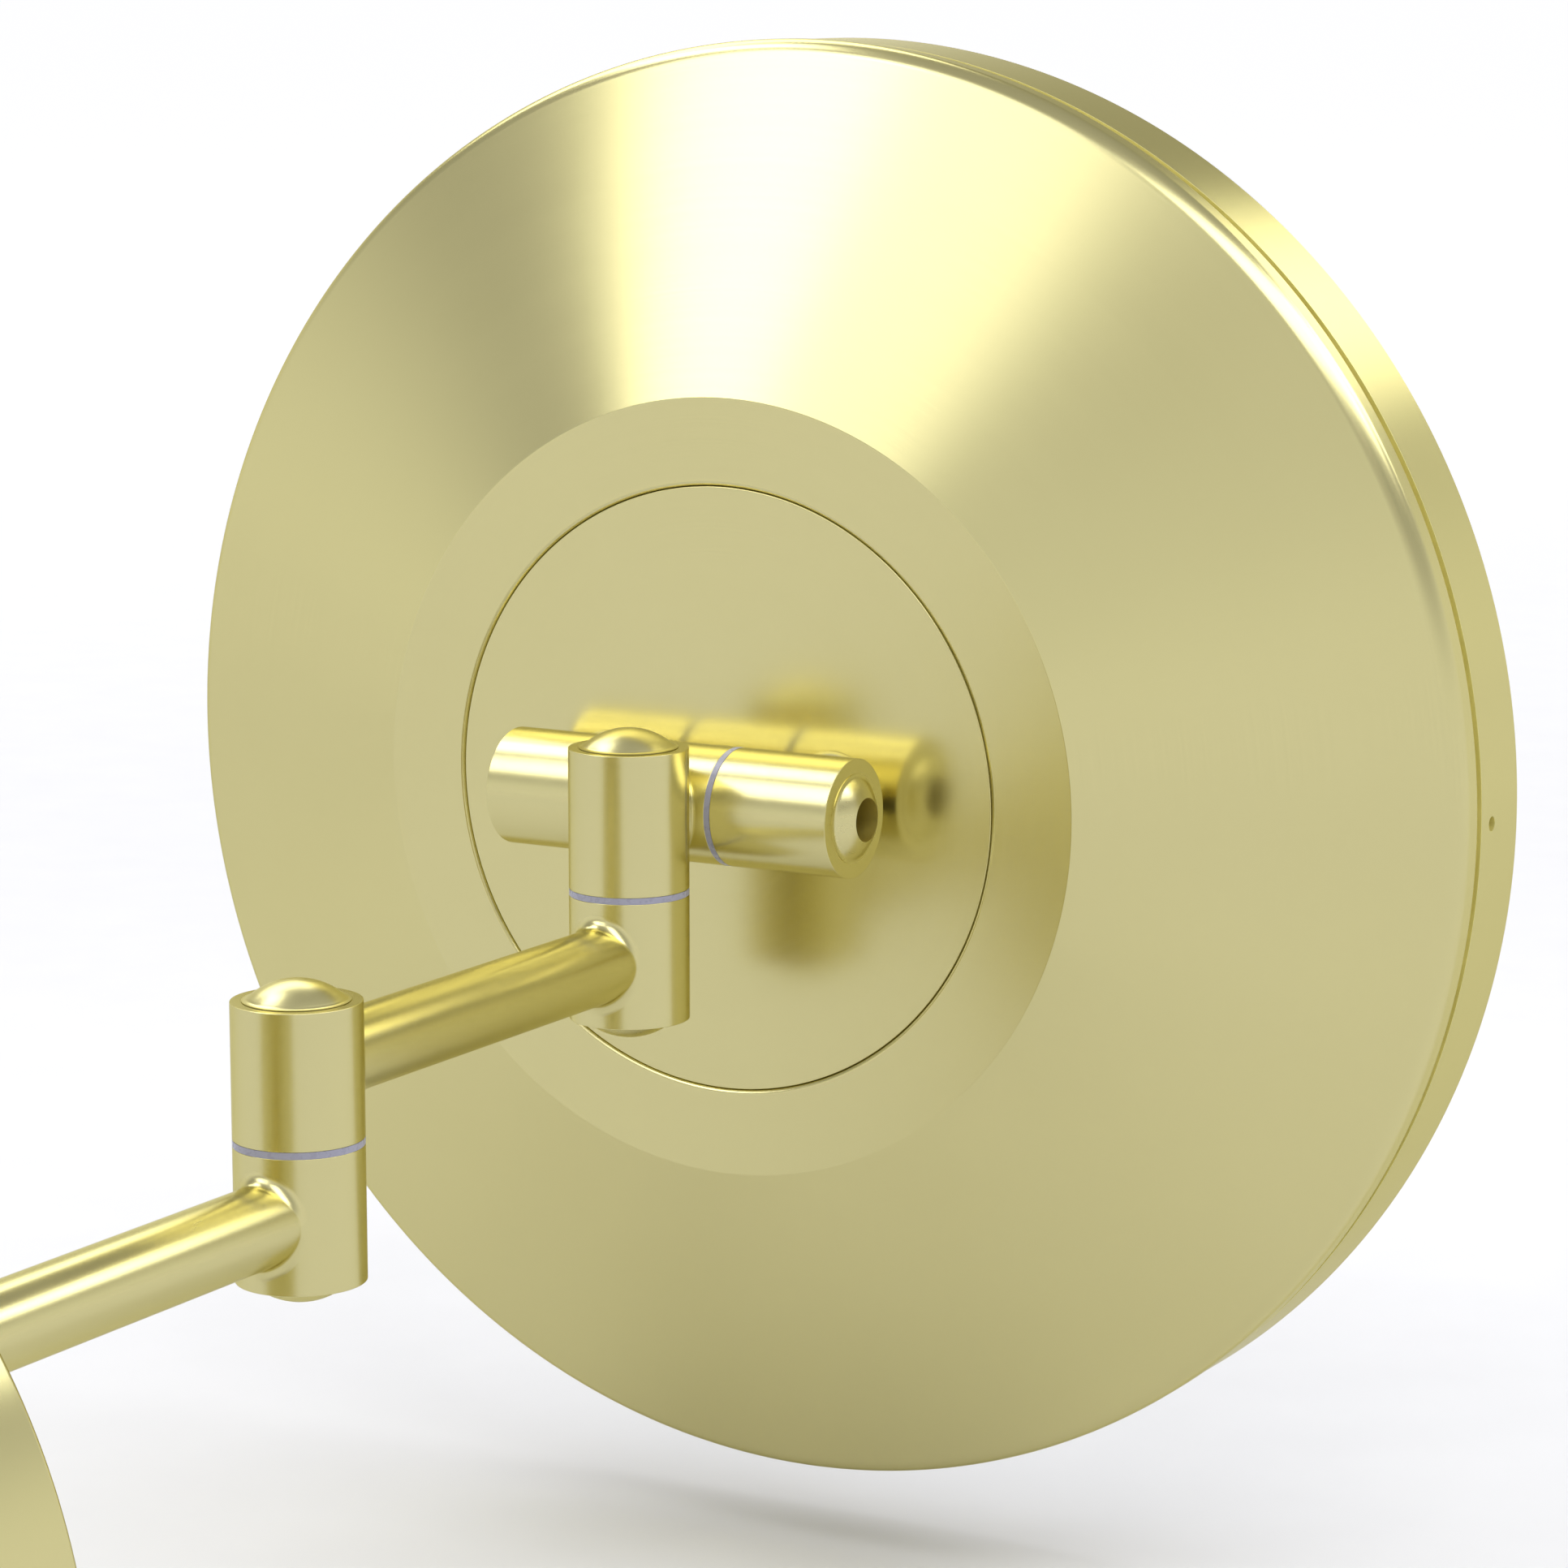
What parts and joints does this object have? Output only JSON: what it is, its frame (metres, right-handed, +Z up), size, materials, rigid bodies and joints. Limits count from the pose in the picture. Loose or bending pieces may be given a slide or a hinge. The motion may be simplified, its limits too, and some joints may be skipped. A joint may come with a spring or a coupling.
{
  "type": "lighted magnifying mirror",
  "caption": "Round lighted magnifying mirror with a conical brass back and a tilt hinge, on a two-piece swing arm with barrel pivots and a drum wall canopy.",
  "frame": {"origin": "centre of the wall canopy's open back, on the wall, midway between the bracket's two slots", "axes": "+Y into the wall, the mirror faces -Y, +Z up, +X to the right of someone who looks into the mirror"},
  "size_m": [0.2404, 0.34, 0.2544],
  "materials": {
    "satin_brass": "satin lacquered brass, spun",
    "polished_brass": "polished lacquered brass",
    "nylon": "smooth moulded nylon",
    "steel": "zinc plated",
    "driver_case": "moulded",
    "white_pan": "white powder coat",
    "board_white": "white solder mask",
    "led_lens": "phosphor resin",
    "frosted_acrylic": "frosted",
    "silvered_glass": "hollow ground, silvered behind",
    "foam": "closed-cell foam"
  },
  "bodies": {
    "wall_mount": {"wall_canopy": "polished_brass", "mounting_bracket": "steel", "canopy_screws": "steel", "canopy_nut": "steel", "wall_barrel": "polished_brass", "led_driver": "driver_case", "wall_washer": "nylon", "wall_spindle": "steel", "wall_top_cap": "polished_brass", "wall_bottom_cap": "polished_brass"},
    "inner_arm": {"inner_arm": "polished_brass", "elbow_washer": "nylon", "elbow_spindle": "steel", "elbow_top_cap": "polished_brass", "elbow_bottom_cap": "polished_brass"},
    "outer_arm": {"outer_arm": "polished_brass", "swivel_washer": "nylon", "swivel_spindle": "steel", "swivel_top_cap": "polished_brass", "swivel_bottom_cap": "polished_brass"},
    "head_knuckle": {"head_knuckle": "polished_brass", "left_tilt_washer": "nylon", "right_tilt_washer": "nylon"},
    "mirror_head": {"rear_shell": "satin_brass", "cover_plate": "satin_brass", "front_ring": "satin_brass", "left_tilt_barrel": "polished_brass", "right_tilt_barrel": "polished_brass", "left_tilt_cap": "polished_brass", "right_tilt_cap": "polished_brass", "tilt_bolt": "steel", "barrel_screws": "steel", "cover_screws": "steel", "ring_screws": "steel", "light_tray": "white_pan", "led_board": "board_white", "leds": "led_lens", "diffuser_ring": "frosted_acrylic", "mirror_glass": "silvered_glass", "mirror_pad": "foam"}
  },
  "joints": [
    {"name": "wall_pivot", "type": "hinge", "parent": "wall_mount", "child": "inner_arm", "pos_m": [0, -0.047, 0.015], "axis": [0, 0, 1], "range_deg": [-90, 90]},
    {"name": "elbow", "type": "hinge", "parent": "inner_arm", "child": "outer_arm", "pos_m": [0, -0.177, 0.036], "axis": [0, 0, 1], "range_deg": [-75, 75]},
    {"name": "head_swivel", "type": "hinge", "parent": "outer_arm", "child": "head_knuckle", "pos_m": [0, -0.267, 0.0582], "axis": [0, 0, 1], "range_deg": [-45, 45]},
    {"name": "head_tilt", "type": "hinge", "parent": "head_knuckle", "child": "mirror_head", "pos_m": [0, -0.2835, 0.0582], "axis": [1, 0, 0], "range_deg": [-60, 25]}
  ]
}
